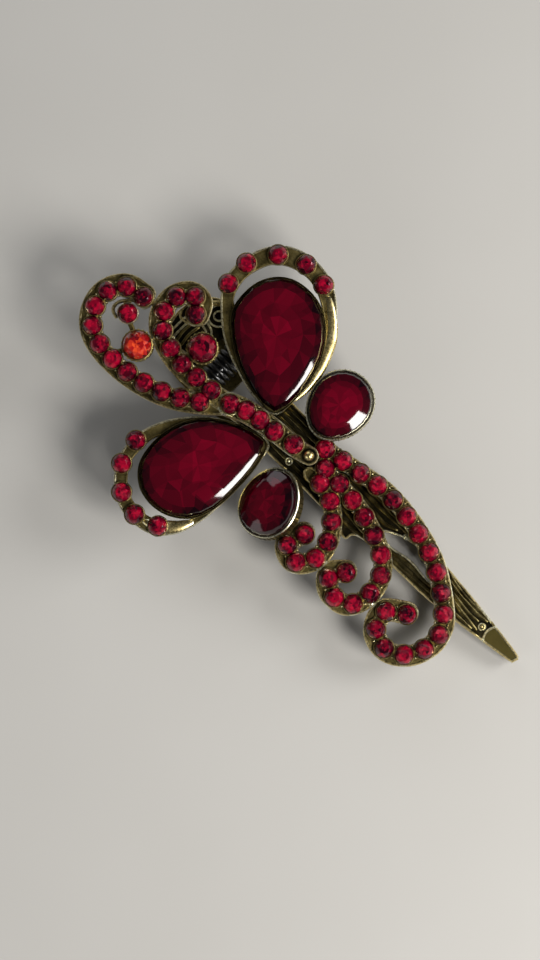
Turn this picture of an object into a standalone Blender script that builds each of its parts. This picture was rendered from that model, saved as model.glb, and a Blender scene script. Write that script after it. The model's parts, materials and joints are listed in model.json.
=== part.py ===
"""Alligator hair clip with a butterfly ornament whose tail sweeps down the jaw in three scrolls.

Blender units are metres. World frame: the lower jaw lies flat on z = 0, +X runs from the hinge to
the tips, +Y is the left side and +Z is up. The hinge pin's axis is parallel to Y, above the origin.
The upper jaw and everything fixed to it are modelled in the jaw's own frame, which starts on the
pin's axis: u along the jaw, v across it, w away from its face.
"""

import math

import bmesh
import bpy
import numpy as np
from mathutils import Matrix

# Lengths are in millimetres here, and MM turns them into metres.
MM = 0.001
GAP = 0.3  # between pieces that touch
SEAT_GAP = 0.1  # under a glued stone

# Hinge and jaws
PIN_HEIGHT = 6.5
JAW_SLOPE = math.radians(7)
SHEET = 1.2
UPPER_SHEET = 4.3  # from the pin's axis to the underside of the upper jaw
JAW_TOP = UPPER_SHEET + SHEET
PIN_RADIUS = 0.9
PIN_HOLE = 0.97
EAR_RADIUS = 2.1
EAR_SHEET = 0.8
UPPER_EAR = 5.2  # inner face of the upper jaw's ears, from the middle
LOWER_EAR = 6.3
EAR_FOOT = 2.7  # half the width of an ear where it joins its jaw
EAR_ROOT = 0.4  # how far into the lower sheet its ears reach down
PIN_HEAD = 1.5
PIN_HEAD_RISE = 0.7
ROUND_SIDES = 16

# Teeth of the lower jaw
TOOTH_START = 41.0
TOOTH_PITCH = 2.4
TOOTH_COUNT = 6
TOOTH_RISE = 1.7
TOOTH_FALL = 0.1  # each tooth is this much lower than the one behind it
TOOTH_ROOT = 0.6
TOOTH_VALLEY = SHEET - 0.2
TOOTH_RAIL = (2.3, 2.9)  # inner and outer face of a row

# Ribs of the upper jaw
RIB_SIDES = (-3.9, 3.6)
RIB_WIDTHS = (0.7, 0.5)
RIB_RISE = 0.2

# Spring
WIRE_RADIUS = 0.42
COIL_RADIUS = 2.2
COIL_TURNS = 7.5  # the upper leg leaves the top of the coil and the lower leg its underside
COIL_STEPS = 10  # points in one turn
COIL_PITCH = 1.12
SPRING_LEG = 7.0
LEG_RISE = 0.8  # of the upper leg's end above the coil
LEG_KNEE = (-2.2, -2.5)  # where the lower leg bends, as x and height
LEG_SHIFT = 0.2  # of the lower leg, sideways from the coil's end

# Ornament levels above the pin's axis, and thicknesses
WING_BASE = JAW_TOP + GAP
CUP_FLOOR = 1.0
CUP_DEPTH = 2.8
CUP_WALL = 0.6
LOOP_LIFT = 0.2  # of a forewing's loop above the wing's base
LOOP_SHEET = 1.5
SCROLL_SHEET = 1.4
SCROLL_CUT = (WING_BASE - 1, WING_BASE + 6)  # the heights of the cutter where a scroll meets another piece
BODY_BASE = 8.9
BODY_SHEET = 1.4
BODY_TOP = BODY_BASE + BODY_SHEET
BODY_WIDTHS = (3.4, 4.6)
ANTENNA_WIDTHS = (3.8, 3.9)
LEVEL_STEP = 0.05  # between the faces of castings that are joined, so that none coincide
STEM_WIDTH = 1.0
STEM_INSET = 0.2
LEG_RADIUS = 1.1

# Stones
SMALL_STONE = 1.5  # radius
SMALL_HEIGHT = 1.5
MEDIUM_STONE = 2.8
MEDIUM_HEIGHT = 2.3
BIG_RISE = 3.2  # from the cup's floor to the top of a large stone
BIG_LAYERS = [(0.97, 0.0), (1.0, 0.45), (0.80, 0.8), (0.55, 1.0)]  # shares of the outline and of the rise
STONE_SIDES = 8
MEDIUM_SIDES = 12
GIRDLE_SHARE = 0.25  # of a small stone's height
TABLE_SHARE = 0.58  # of a small stone's radius
SCROLL_STONE = 1.42
MEDIUM_RIM = 0.4
CURL_CUP = 1.9
BED_WIDTH = 0.9
BED_SHEET = 0.3

GOLD = ("antique_gold", (0.16, 0.115, 0.04), 0.42, 1.0)
STEEL = ("dark_steel", (0.10, 0.105, 0.11), 0.30, 1.0)
RUBY = ("ruby_stone", (0.35, 0.0, 0.03), 0.06, 0.0)
WINE = ("wine_resin", (0.18, 0.0, 0.02), 0.08, 0.0)


# ---------------------------------------------------------------- scene and materials


def clear_scene():
    for obj in list(bpy.data.objects):
        bpy.data.objects.remove(obj, do_unlink=True)


def new_collection(name):
    collection = bpy.data.collections.new(name)
    bpy.context.scene.collection.children.link(collection)
    return collection


def new_material(name, colour, roughness, metallic):
    material = bpy.data.materials.new(name)
    material.use_nodes = True
    shader = material.node_tree.nodes["Principled BSDF"]
    shader.inputs["Base Color"].default_value = (*colour, 1.0)
    shader.inputs["Roughness"].default_value = roughness
    shader.inputs["Metallic"].default_value = metallic
    return material


def place(name, mesh, finish, parent=None):
    """Puts a mesh in the clip's collection as a named piece, with its own material."""
    finish_name, colour, roughness, metallic = finish
    obj = bpy.data.objects.new(name, mesh)
    mesh.materials.clear()
    mesh.materials.append(new_material(f"{name}_{finish_name}", colour, roughness, metallic))
    PIECES.objects.link(obj)
    obj.parent = parent
    return obj


def helper(mesh, parent=None):
    """Puts a mesh in the cutters' collection, where it only serves Booleans."""
    obj = bpy.data.objects.new("helper", mesh)
    CUTTERS.objects.link(obj)
    obj.parent = parent
    obj.hide_render = True
    obj.display_type = "WIRE"
    return obj


def combine(obj, mesh, operation):
    modifier = obj.modifiers.new(operation.lower(), "BOOLEAN")
    modifier.operation = operation
    modifier.solver = "EXACT"
    modifier.object = helper(mesh, obj.parent)


# ---------------------------------------------------------------- outlines, in millimetres


def smooth_path(points, steps=5):
    """A Catmull-Rom curve through the points, with that many steps from one to the next."""
    knots = np.array(points, float)
    knots = np.vstack([2 * knots[0] - knots[1], knots, 2 * knots[-1] - knots[-2]])
    path = []
    for a, b, c, d in zip(knots, knots[1:], knots[2:], knots[3:]):
        for t in np.arange(steps) / steps:
            bend = 2 * a - 5 * b + 4 * c - d
            path.append(b + 0.5 * ((c - a) * t + bend * t**2 + (3 * b - a - 3 * c + d) * t**3))
    return np.array([*path, knots[-2]])


def smooth_loop(points, steps=4):
    """A closed Catmull-Rom outline through the points."""
    wrapped = [points[-1], *points, points[0], points[1]]
    return smooth_path(wrapped, steps)[steps : -steps - 1]


def even_points(path, count, skip=0.0):
    """Points at equal distances along a path, from that far past its start to its end."""
    lengths = np.concatenate([[0], np.cumsum(np.linalg.norm(np.diff(path, axis=0), axis=1))])
    marks = np.linspace(skip, lengths[-1], count)
    return np.column_stack([np.interp(marks, lengths, path[:, axis]) for axis in (0, 1)])


def arc(centre, radius, start, end, count):
    """Points on an arc from one angle to another, in degrees."""
    angles = np.radians(np.linspace(start, end, count))
    return np.column_stack([centre[0] + radius * np.cos(angles), centre[1] + radius * np.sin(angles)])


def circle(centre, radius, sides=ROUND_SIDES):
    return arc(centre, radius, 0, 360, sides + 1)[:-1]


def outside_points(side, path, half):
    """One edge of a band without the points that a tight curl would push inside the band."""
    distance = np.linalg.norm(side[:, None] - path[None], axis=2) - half[:, 0][None]
    return side[distance.min(axis=1) > -0.005]


def ribbon(path, start_width, end_width, round_steps=5):
    """The outline of a flat band along a path, with round ends and a steady taper."""
    heading = np.gradient(path, axis=0)
    heading /= np.linalg.norm(heading, axis=1)[:, None]
    across = np.column_stack([-heading[:, 1], heading[:, 0]])
    half = np.linspace(start_width, end_width, len(path))[:, None] / 2
    left = outside_points(path + across * half, path, half)
    right = outside_points(path - across * half, path, half)
    end_angle = math.degrees(math.atan2(across[-1][1], across[-1][0]))
    start_angle = math.degrees(math.atan2(across[0][1], across[0][0]))
    nose = arc(path[-1], end_width / 2, end_angle, end_angle - 180, round_steps + 2)[1:-1]
    heel = arc(path[0], start_width / 2, start_angle + 180, start_angle, round_steps + 2)[1:-1]
    return np.vstack([left, nose, right[::-1], heel])


def grown(outline, distance):
    """A closed outline moved outwards by a small distance."""
    heading = np.roll(outline, -1, axis=0) - np.roll(outline, 1, axis=0)
    heading /= np.linalg.norm(heading, axis=1)[:, None]
    after = np.roll(outline, -1, axis=0)
    turning = math.copysign(1, np.sum(outline[:, 0] * after[:, 1] - after[:, 0] * outline[:, 1]))
    return outline + np.column_stack([heading[:, 1], -heading[:, 0]]) * turning * distance


def scaled(outline, share):
    """A closed outline drawn in towards its middle."""
    middle = outline.mean(axis=0)
    return middle + (outline - middle) * share


def egg(long_half, short_half, direction, sides=22):
    """An oval whose end in the given direction is a little fuller than the other."""
    angles = 2 * math.pi * np.arange(sides) / sides
    along = long_half * np.cos(angles)
    across = short_half * np.sin(angles) * (1 + 0.10 * np.cos(angles))
    turn = math.radians(direction)
    x = along * math.cos(turn) - across * math.sin(turn)
    y = along * math.sin(turn) + across * math.cos(turn)
    return np.column_stack([x, y])


# ---------------------------------------------------------------- meshes, from millimetres


def plate(outlines, low, high):
    """A flat plate between two heights. An outline inside another one is a hole."""
    curve = bpy.data.curves.new("outline", "CURVE")
    curve.dimensions = "2D"
    curve.fill_mode = "BOTH"
    curve.extrude = (high - low) / 2 * MM
    for outline in outlines:
        spline = curve.splines.new("POLY")
        spline.points.add(len(outline) - 1)
        for point, (x, y) in zip(spline.points, outline):
            point.co = (x * MM, y * MM, 0, 1)
        spline.use_cyclic_u = True
    mesh = mesh_of_curve(curve)
    mesh.transform(Matrix.Translation((0, 0, (low + high) / 2 * MM)))
    return mesh


def mesh_of_curve(curve):
    """The mesh that a curve shows, with its caps welded on."""
    guide = bpy.data.objects.new("guide", curve)
    CUTTERS.objects.link(guide)
    graph = bpy.context.evaluated_depsgraph_get()
    mesh = bpy.data.meshes.new_from_object(guide.evaluated_get(graph))
    bpy.data.objects.remove(guide, do_unlink=True)
    body = bmesh.new()
    body.from_mesh(mesh)
    bmesh.ops.remove_doubles(body, verts=body.verts, dist=1e-6)
    bmesh.ops.recalc_face_normals(body, faces=body.faces)
    body.to_mesh(mesh)
    body.free()
    return mesh


def upright_plate(outlines, near, far):
    """A plate whose outlines are (x, z) pairs, between two distances along Y."""
    mesh = plate(outlines, -far, -near)
    mesh.transform(Matrix.Rotation(math.pi / 2, 4, "X"))
    return mesh


def stacked(layers):
    """A closed loft through outlines of one length, from (outline, height) pairs, bottom first."""
    body = bmesh.new()
    rings = [[body.verts.new((x * MM, y * MM, z * MM)) for x, y in outline] for outline, z in layers]
    for lower, upper in zip(rings, rings[1:]):
        for i in range(len(lower)):
            j = (i + 1) % len(lower)
            body.faces.new((lower[i], lower[j], upper[j], upper[i]))
    body.faces.new(rings[0][::-1])
    body.faces.new(rings[-1])
    bmesh.ops.recalc_face_normals(body, faces=body.faces)
    mesh = bpy.data.meshes.new("stacked")
    body.to_mesh(mesh)
    body.free()
    return mesh


def merged(meshes):
    """Several separate meshes in one."""
    body = bmesh.new()
    for mesh in meshes:
        body.from_mesh(mesh)
    result = bpy.data.meshes.new("merged")
    body.to_mesh(result)
    body.free()
    return result


def turned(name, profile, finish, parent=None):
    """A turned piece about Z from (radius, height) pairs, top to bottom, by a Screw modifier."""
    mesh = bpy.data.meshes.new(name)
    points = [(radius * MM, 0, height * MM) for radius, height in profile]
    edges = [(i, i + 1) for i in range(len(points) - 1)]
    mesh.from_pydata(points, edges, [])
    obj = place(name, mesh, finish, parent)
    screw = obj.modifiers.new("turn", "SCREW")
    screw.steps = screw.render_steps = ROUND_SIDES
    screw.use_merge_vertices = True
    screw.merge_threshold = 1e-5
    return obj


def cut_stone(centre, radius, base, height, sides=STONE_SIDES):
    """A flat-backed stone: a short girdle under a crown that narrows to a flat table."""
    return stacked([
        (circle(centre, radius, sides), base),
        (circle(centre, radius, sides), base + GIRDLE_SHARE * height),
        (circle(centre, TABLE_SHARE * radius, sides), base + height),
    ])


# ---------------------------------------------------------------- jaws, pin and spring


def ear_outline(foot_height):
    """A round lug about the pin that widens to its foot, as (x, z) from the pin's axis."""
    if foot_height > 0:
        lug = arc((0, 0), EAR_RADIUS, 180, 360, 9)
    else:
        lug = arc((0, 0), EAR_RADIUS, 0, 180, 9)
    side = math.copysign(EAR_FOOT, lug[-1][0])
    return np.vstack([lug, [(side, foot_height), (-side, foot_height)]])


def ears(foot_height, inner_face):
    """The two lugs of a jaw, pierced for the pin, about the pin's axis."""
    outlines = [ear_outline(foot_height), circle((0, 0), PIN_HOLE)]
    left = upright_plate(outlines, inner_face, inner_face + EAR_SHEET)
    right = upright_plate(outlines, -inner_face - EAR_SHEET, -inner_face)
    return merged([left, right])


def slot_outline(grow):
    """The pointed slot between the two rails of a jaw."""
    return smooth_loop([
        (42.2 - grow, -0.6), (46.0, 1.3 + grow), (50.5, 1.8 + grow), (54.5, 1.0 + grow),
        (57.2 + grow, -0.9), (54.3, -1.0 - grow), (49.6, -0.6 - grow), (45.0, -1.4 - grow),
    ], 3)


def window_outline(rear):
    """The opening in front of the hinge, from where the ears were bent out."""
    side = [(rear, 3.7), (rear + 0.6, 4.3), (4.6, 4.1), (7.4, 3.1), (9.7, 1.8), (10.6, 0.0)]
    return np.vstack([side, [(x, -y) for x, y in side[-2::-1]]])


def lower_jaw():
    side = smooth_path([
        (-13.0, 2.5), (-11.8, 5.0), (-8.0, 6.9), (-3.4, 7.3), (3.4, 7.3), (9.0, 5.5),
        (16.0, 4.3), (40.0, 4.0), (56.0, 3.0), (66.0, 2.0), (74.6, 0.9), (75.2, 0.3),
    ], 2)
    outline = np.vstack([side, side[::-1] * (1, -1)])
    mesh = plate([outline, window_outline(3.2), slot_outline(0.3)], 0, SHEET)
    jaw = place("lower_jaw", mesh, GOLD)
    lugs = ears(EAR_ROOT - PIN_HEIGHT, LOWER_EAR)
    lugs.transform(Matrix.Translation((0, 0, PIN_HEIGHT * MM)))
    combine(jaw, lugs, "UNION")
    combine(jaw, merged([tooth_rail(1), tooth_rail(-1)]), "UNION")


def tooth_rail(side):
    """A row of teeth along one edge of the lower jaw, under the tapering half of the gap."""
    end = TOOTH_START + TOOTH_COUNT * TOOTH_PITCH
    teeth = [(TOOTH_START, TOOTH_ROOT)]
    for i in range(TOOTH_COUNT):
        x = TOOTH_START + i * TOOTH_PITCH
        teeth.append((x + 0.3 * TOOTH_PITCH, TOOTH_VALLEY))
        teeth.append((x + 0.7 * TOOTH_PITCH, SHEET + TOOTH_RISE - TOOTH_FALL * i))
    teeth += [(end, TOOTH_VALLEY), (end, TOOTH_ROOT)]
    return upright_plate([np.array(teeth)], *sorted(side * face for face in TOOTH_RAIL))


def upper_jaw(parent):
    side_left = smooth_path([
        (-12.6, 1.6), (-12.0, 5.2), (-9.6, 8.2), (-6.4, 9.2), (-3.9, 7.6), (-2.8, 6.3), (2.9, 6.3),
        (7.0, 5.6), (12.0, 4.7), (20.0, 4.5), (32.0, 4.7), (45.0, 4.1), (56.0, 3.1), (66.0, 2.1),
        (74.5, 1.0), (76.0, 0.4),
    ], 3)
    side_right = smooth_path([
        (75.6, -0.9), (74.0, -1.2), (66.0, -2.4), (57.0, -3.5), (48.0, -3.8), (41.0, -4.1),
        (38.9, -4.9), (38.6, -6.1), (37.6, -6.4), (35.0, -5.4), (28.0, -5.2), (18.0, -5.2),
        (12.0, -5.0), (7.0, -5.7), (2.9, -6.3), (-2.8, -6.3), (-9.5, -5.2), (-12.0, -2.4),
    ], 3)
    outline = np.vstack([side_left, side_right])
    holes = [window_outline(-3.4), slot_outline(0), rivet_hole()]
    jaw = place("upper_jaw", plate([outline, *holes], UPPER_SHEET, JAW_TOP), GOLD, parent)
    combine(jaw, ears(UPPER_SHEET + 0.6, UPPER_EAR), "UNION")
    combine(jaw, merged([rib(y) for y in RIB_SIDES]), "UNION")


def rib(y):
    """A low rib along one side of the upper jaw."""
    path = smooth_path([(13.5, y), (20, y * 1.1), (32, y), (40.5, y * 0.7)], 3)
    return plate([ribbon(path, *RIB_WIDTHS, 1)], JAW_TOP - GAP, JAW_TOP + RIB_RISE)


def hinge_pin():
    half = LOWER_EAR + EAR_SHEET + 0.1
    head = [(0, half + PIN_HEAD_RISE), (1.0, half + 0.6), (PIN_HEAD, half + 0.1), (PIN_HEAD, half),
            (PIN_RADIUS, half)]
    profile = head + [(radius, -height) for radius, height in head[::-1]]
    pin = turned("hinge_pin", profile, STEEL)
    pin.location = (0, 0, PIN_HEIGHT * MM)
    pin.rotation_euler = (math.pi / 2, 0, 0)


def torsion_spring():
    """A close coil about the pin whose two legs press the levers apart."""
    steps = round(COIL_TURNS * COIL_STEPS)
    length = COIL_TURNS * COIL_PITCH
    points = []
    for i in range(steps + 1):
        angle = math.pi / 2 - 2 * math.pi * i / COIL_STEPS
        y = -length / 2 + length * i / steps
        points.append((COIL_RADIUS * math.cos(angle), y, COIL_RADIUS * math.sin(angle)))
    top, last = points[0], points[-1]
    fall = WIRE_RADIUS + GAP + SHEET - PIN_HEIGHT
    points = [(-SPRING_LEG, top[1] - 2 * LEG_SHIFT, top[2] + LEG_RISE), *points]
    points += [(x, last[1] + LEG_SHIFT, height) for x, height in (LEG_KNEE, (-SPRING_LEG, fall))]
    curve = bpy.data.curves.new("torsion_spring", "CURVE")
    curve.dimensions = "3D"
    curve.bevel_depth = WIRE_RADIUS * MM
    curve.bevel_resolution = 2
    curve.use_fill_caps = True
    spline = curve.splines.new("POLY")
    spline.points.add(len(points) - 1)
    for point, (x, y, z) in zip(spline.points, points):
        point.co = (x * MM, y * MM, z * MM, 1)
    spring = place("torsion_spring", mesh_of_curve(curve), STEEL)
    spring.location = (0, 0, PIN_HEIGHT * MM)


# ---------------------------------------------------------------- wings

# A forewing's gem sits in a cup on a flat loop. The gap is the crescent between the cup and the
# loop's far end. All of a wing's outlines are in the jaw's own plane.
FORE_WINGS = {
    "left": {
        "centre": (4.0, 11.0),
        "gem": [(-5.5, 12.2), (-5.2, 15.2), (-3.8, 17.9), (-1.4, 19.8), (2.0, 20.5), (5.6, 19.9),
                (8.9, 17.8), (11.6, 14.2), (13.2, 9.6), (13.7, 4.8), (12.9, 1.2), (8.9, 1.1), (4.8, 2.1),
                (0.7, 4.0), (-3.2, 6.9), (-5.0, 9.3)],
        "loop": [(-10.8, 13.4), (-10.6, 17.0), (-9.4, 20.7), (-7.0, 23.7), (-3.6, 25.4), (0.2, 25.8),
                 (4.0, 25.0), (7.7, 22.5), (10.8, 18.8), (13.2, 13.2), (14.0, 8.6), (14.2, 4.4),
                 (13.4, 0.6), (8.2, 0.3), (2.8, 1.6), (-2.6, 3.8), (-6.9, 7.2), (-9.8, 10.4)],
        "gap": [(-7.9, 14.2), (-7.0, 18.3), (-5.4, 20.5), (-3.0, 21.9), (0.2, 22.5), (3.3, 21.8),
                (6.2, 20.2), (8.6, 18.0), (7.0, 14.0), (2.0, 11.0), (-3.5, 9.5), (-6.6, 10.2)],
        "stones": [(-9.3, 11.6), (-9.6, 16.6), (-6.6, 21.7), (-1.7, 24.0), (3.2, 23.6)],
    },
    "right": {
        "centre": (9.5, -16.0),
        "gem": [(1.9, -17.8), (2.6, -22.3), (5.2, -25.2), (8.8, -26.2), (12.6, -25.4), (15.8, -22.8),
                (17.4, -18.6), (17.6, -13.2), (17.2, -8.2), (15.9, -4.6), (12.6, -4.9), (8.6, -6.6),
                (4.8, -9.6), (2.6, -13.6)],
        "loop": [(-1.9, -20.5), (-1.3, -24.6), (0.6, -27.8), (3.6, -30.3), (7.2, -31.5), (11.0, -31.2),
                 (14.0, -29.8), (16.4, -26.6), (17.8, -21.6), (18.1, -16.5), (18.0, -12.6), (17.6, -8.0),
                 (16.6, -3.8), (12.6, -4.2), (8.0, -6.2), (3.8, -9.4), (0.8, -13.0), (-1.1, -16.8)],
        "gap": [(0.6, -21.0), (1.0, -24.0), (3.3, -27.1), (6.7, -28.7), (10.4, -28.5), (13.6, -26.5),
                (16.2, -22.8), (14.5, -18.0), (9.0, -15.0), (3.5, -15.0), (1.0, -17.6)],
        "stones": [(-1.1, -20.4), (0.0, -25.2), (3.7, -28.9), (8.2, -30.1), (12.7, -28.6)],
    },
}
# Tilt turns a hindwing about its long axis, so that the side towards the tips stands higher.
HIND_WINGS = {
    "left": {"centre": (20.7, 10.0), "long_half": 6.3, "short_half": 5.3, "direction": 95, "tilt": 0},
    "right": {"centre": (24.9, -11.0), "long_half": 6.1, "short_half": 5.3, "direction": 288, "tilt": 25},
}
POCKET_GAP = 0.25  # round a large stone in its cup
POCKET_TOP = 8.0  # where the pocket's cutter ends, clear of the cup


def wing_base(name, shape, parent):
    """An empty at the middle of a wing's underside, which carries its cup and its stone."""
    base = bpy.data.objects.new(name, None)
    PIECES.objects.link(base)
    base.parent = parent
    long_axis = Matrix.Rotation(math.radians(shape.get("direction", 0)), 4, "Z")
    tilt = Matrix.Rotation(math.radians(shape.get("tilt", 0)), 4, "X")
    x, y = shape["centre"]
    place_of_wing = Matrix.Translation((x * MM, y * MM, WING_BASE * MM))
    base.matrix_local = place_of_wing @ long_axis @ tilt @ long_axis.inverted()
    return base


def set_stone(kind, side, frame, gem):
    """Cuts the pocket of a large stone into its cup, and puts the stone there."""
    combine(frame, plate([grown(gem, POCKET_GAP)], CUP_FLOOR, POCKET_TOP), "DIFFERENCE")
    base = CUP_FLOOR + SEAT_GAP
    layers = [(scaled(gem, share), base + rise * BIG_RISE) for share, rise in BIG_LAYERS]
    place(f"{kind}_stone_{side}", stacked(layers), WINE, frame.parent)


def fore_wing(side, shape, parent):
    base = wing_base(f"forewing_base_{side}", shape, parent)
    gem, loop, gap = (smooth_loop(shape[key]) - shape["centre"] for key in ("gem", "loop", "gap"))
    band = plate([loop, gap], LOOP_LIFT, LOOP_LIFT + LOOP_SHEET)
    frame = place(f"forewing_frame_{side}", band, GOLD, base)
    combine(frame, plate([grown(gem, CUP_WALL)], 0, CUP_DEPTH), "UNION")
    set_stone("forewing", side, frame, gem)
    for i, centre in enumerate(np.array(shape["stones"]) - shape["centre"]):
        mesh = cut_stone(centre, SMALL_STONE, LOOP_LIFT + LOOP_SHEET + SEAT_GAP, SMALL_HEIGHT)
        place(f"wing_stone_{side}_{i + 1}", mesh, RUBY, base)


def hind_wing(side, shape, parent):
    gem = egg(shape["long_half"], shape["short_half"], shape["direction"])
    base = wing_base(f"hindwing_base_{side}", shape, parent)
    cup = plate([grown(gem, CUP_WALL)], 0, CUP_DEPTH)
    frame = place(f"hindwing_cup_{side}", cup, GOLD, base)
    set_stone("hindwing", side, frame, gem)


# ---------------------------------------------------------------- body and antennae

BODY_PATH = [(23.3, -0.3), (20.3, -1.0), (15.8, -1.4), (12.6, -1.9), (9.5, -2.6), (6.7, -3.8)]
ANTENNA_LEFT = [(6.7, -3.8), (2.4, -4.4), (-4.2, -4.7), (-7.7, -4.3), (-11.4, -2.9), (-13.5, -0.6),
                (-14.1, 2.6), (-12.6, 5.2), (-10.4, 5.4), (-9.2, 3.4)]
ANTENNA_RIGHT = [(6.7, -3.8), (2.5, -7.3), (-3.5, -10.8), (-10.6, -12.7), (-17.3, -12.7), (-21.2, -11.1),
                 (-23.3, -8.2), (-23.6, -4.9), (-21.7, -1.9), (-18.2, -1.0)]
CURL_STONE = (-18.1, -5.1)
MEDIUM_STONES = {"outer": (-12.8, -8.0), "inner": (-4.0, -0.1)}
STEMS = [((-17.9, -5.6), (-14.0, -7.2)), ((-13.6, -9.6), (-14.9, -11.9)), ((-12.0, -6.6), (-11.6, -3.8)),
         ((-1.2, -9.2), (-0.4, -5.4)), ((-17.0, -0.9), (-14.2, 0.2)), ((-18.1, -5.1), (-19.7, -4.2)),
         ((-19.7, -4.2), (-19.4, -1.6))]
BODY_LEGS = [(9.4, -2.5), (19.4, -1.0)]
RIVET_PLACE = (23.3, -0.3)
RIVET_RADIUS = 0.8
RIVET_HEAD = 1.3
RIVET_PLAY = 0.1
BODY_STONES = [(19.9, -0.8), (15.7, -1.6), (12.5, -2.0), (9.5, -2.5), (6.6, -3.7)]
ANTENNA_STONES = {"left": (9, 4.3), "right": (12, 5.5)}  # how many, and how far past the fork


def rivet_hole():
    return circle(RIVET_PLACE, RIVET_RADIUS + RIVET_PLAY, 12)


def body_casting(parent):
    """The raised body and its two curled antennae, on two short legs."""
    band = ribbon(smooth_path(BODY_PATH, 3), *BODY_WIDTHS)
    body = place("body_and_antennae", plate([band], BODY_BASE, BODY_TOP), GOLD, parent)
    for points in (ANTENNA_LEFT, ANTENNA_RIGHT):
        band = ribbon(smooth_path(points, 4), *ANTENNA_WIDTHS)
        combine(body, plate([band], BODY_BASE - LEVEL_STEP, BODY_TOP - LEVEL_STEP), "UNION")
    low = BODY_BASE - 2 * LEVEL_STEP
    cups = [plate([circle(centre, MEDIUM_STONE + MEDIUM_RIM)], low, BODY_TOP + 2 * LEVEL_STEP)
            for centre in MEDIUM_STONES.values()]
    cups.append(plate([circle(CURL_STONE, CURL_CUP, 12)], low, BODY_TOP - 0.4 * LEVEL_STEP))
    combine(body, merged(cups), "UNION")
    for stem in STEMS:
        bar = ribbon(np.array(stem), STEM_WIDTH, STEM_WIDTH, 1)
        combine(body, plate([bar], BODY_BASE + STEM_INSET, BODY_TOP - STEM_INSET), "UNION")
    legs = [plate([circle(centre, LEG_RADIUS, 12)], WING_BASE, BODY_BASE + 0.5) for centre in BODY_LEGS]
    combine(body, merged(legs), "UNION")
    combine(body, plate([rivet_hole()], BODY_BASE - 1, BODY_TOP + 1), "DIFFERENCE")


def body_stones(parent):
    base = BODY_TOP + SEAT_GAP
    places = {"body_stone": BODY_STONES}
    for side, points in (("left", ANTENNA_LEFT), ("right", ANTENNA_RIGHT)):
        places[f"antenna_stone_{side}"] = even_points(smooth_path(points), *ANTENNA_STONES[side])
    places["antenna_stone_curl"] = [CURL_STONE]
    for name, centres in places.items():
        for i, centre in enumerate(centres):
            mesh = cut_stone(centre, SMALL_STONE, base, SMALL_HEIGHT)
            place(f"{name}_{i + 1}", mesh, RUBY, parent)
    for side, centre in MEDIUM_STONES.items():
        mesh = cut_stone(centre, MEDIUM_STONE, base + 2 * LEVEL_STEP, MEDIUM_HEIGHT, MEDIUM_SIDES)
        place(f"medium_stone_{side}", mesh, RUBY, parent)


def rivet(parent):
    """The domed rivet that fixes the end of the body to the jaw."""
    head = BODY_TOP + SEAT_GAP
    obj = turned("body_rivet", [
        (0, head + 1.0), (0.8, head + 0.8), (RIVET_HEAD, head + 0.2), (RIVET_HEAD, head),
        (RIVET_RADIUS, head), (RIVET_RADIUS, UPPER_SHEET + 0.1), (0, UPPER_SHEET + 0.1),
    ], GOLD, parent)
    obj.location = (RIVET_PLACE[0] * MM, RIVET_PLACE[1] * MM, 0)


# ---------------------------------------------------------------- tail scrolls

SCROLLS = {
    "outer": {"stones": 18, "widths": (3.2, 4.2), "points": [
        (24.4, 2.7), (30.8, 3.8), (37.7, 4.8), (45.4, 4.1), (53.2, 1.7), (60.1, -3.0), (62.4, -6.1),
        (62.7, -9.7), (61.0, -13.3), (57.6, -15.3), (54.0, -14.2), (52.8, -10.6), (55.9, -8.1)]},
    "middle": {"stones": 12, "widths": (2.6, 4.2), "points": [
        (26.9, 0.2), (31.1, 0.0), (38.7, -1.2), (45.4, -4.0), (48.0, -7.3), (48.5, -11.4),
        (46.8, -14.6), (43.2, -15.0), (41.0, -12.8), (42.8, -10.5)]},
    "inner": {"stones": 8, "skip": 2.5, "widths": (2.6, 4.2), "points": [
        (25.6, -2.4), (28.5, -2.4), (31.7, -3.4), (34.6, -5.9), (36.6, -9.0), (37.0, -13.0),
        (34.7, -15.7), (31.7, -14.4), (32.6, -10.9)]},
}


def scroll(name, shape, parent, neighbours):
    """One flat scroll, cut back where it meets the wings or an earlier scroll."""
    path = smooth_path(shape["points"], 4)
    band = plate([ribbon(path, *shape["widths"])], WING_BASE, WING_BASE + SCROLL_SHEET)
    obj = place(f"tail_scroll_{name}", band, GOLD, parent)
    for outline in neighbours:
        combine(obj, plate([outline], *SCROLL_CUT), "DIFFERENCE")
    start, end = shape["widths"]
    return ribbon(path, start + 2 * GAP, end + 2 * GAP)


def scroll_stones(name, shape, parent):
    """A row of stones held together by the thin bed of glue that they sit in."""
    path = smooth_path(shape["points"], 4)
    base = WING_BASE + SCROLL_SHEET + SEAT_GAP
    glue = plate([ribbon(path, BED_WIDTH, BED_WIDTH, 1)], base, base + BED_SHEET)
    bed = place(f"tail_stones_{name}", glue, RUBY, parent)
    stones = [cut_stone(centre, SCROLL_STONE, base + LEVEL_STEP, SMALL_HEIGHT - LEVEL_STEP)
              for centre in even_points(path, shape["stones"], shape.get("skip", 0))]
    combine(bed, merged(stones), "UNION")


# ---------------------------------------------------------------- the clip

clear_scene()
PIECES = new_collection("alligator_hair_clip")
CUTTERS = new_collection("cutters")

pivot = bpy.data.objects.new("upper_jaw_pivot", None)
PIECES.objects.link(pivot)
pivot.location = (0, 0, PIN_HEIGHT * MM)
pivot.rotation_euler = (0, JAW_SLOPE, 0)

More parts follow.
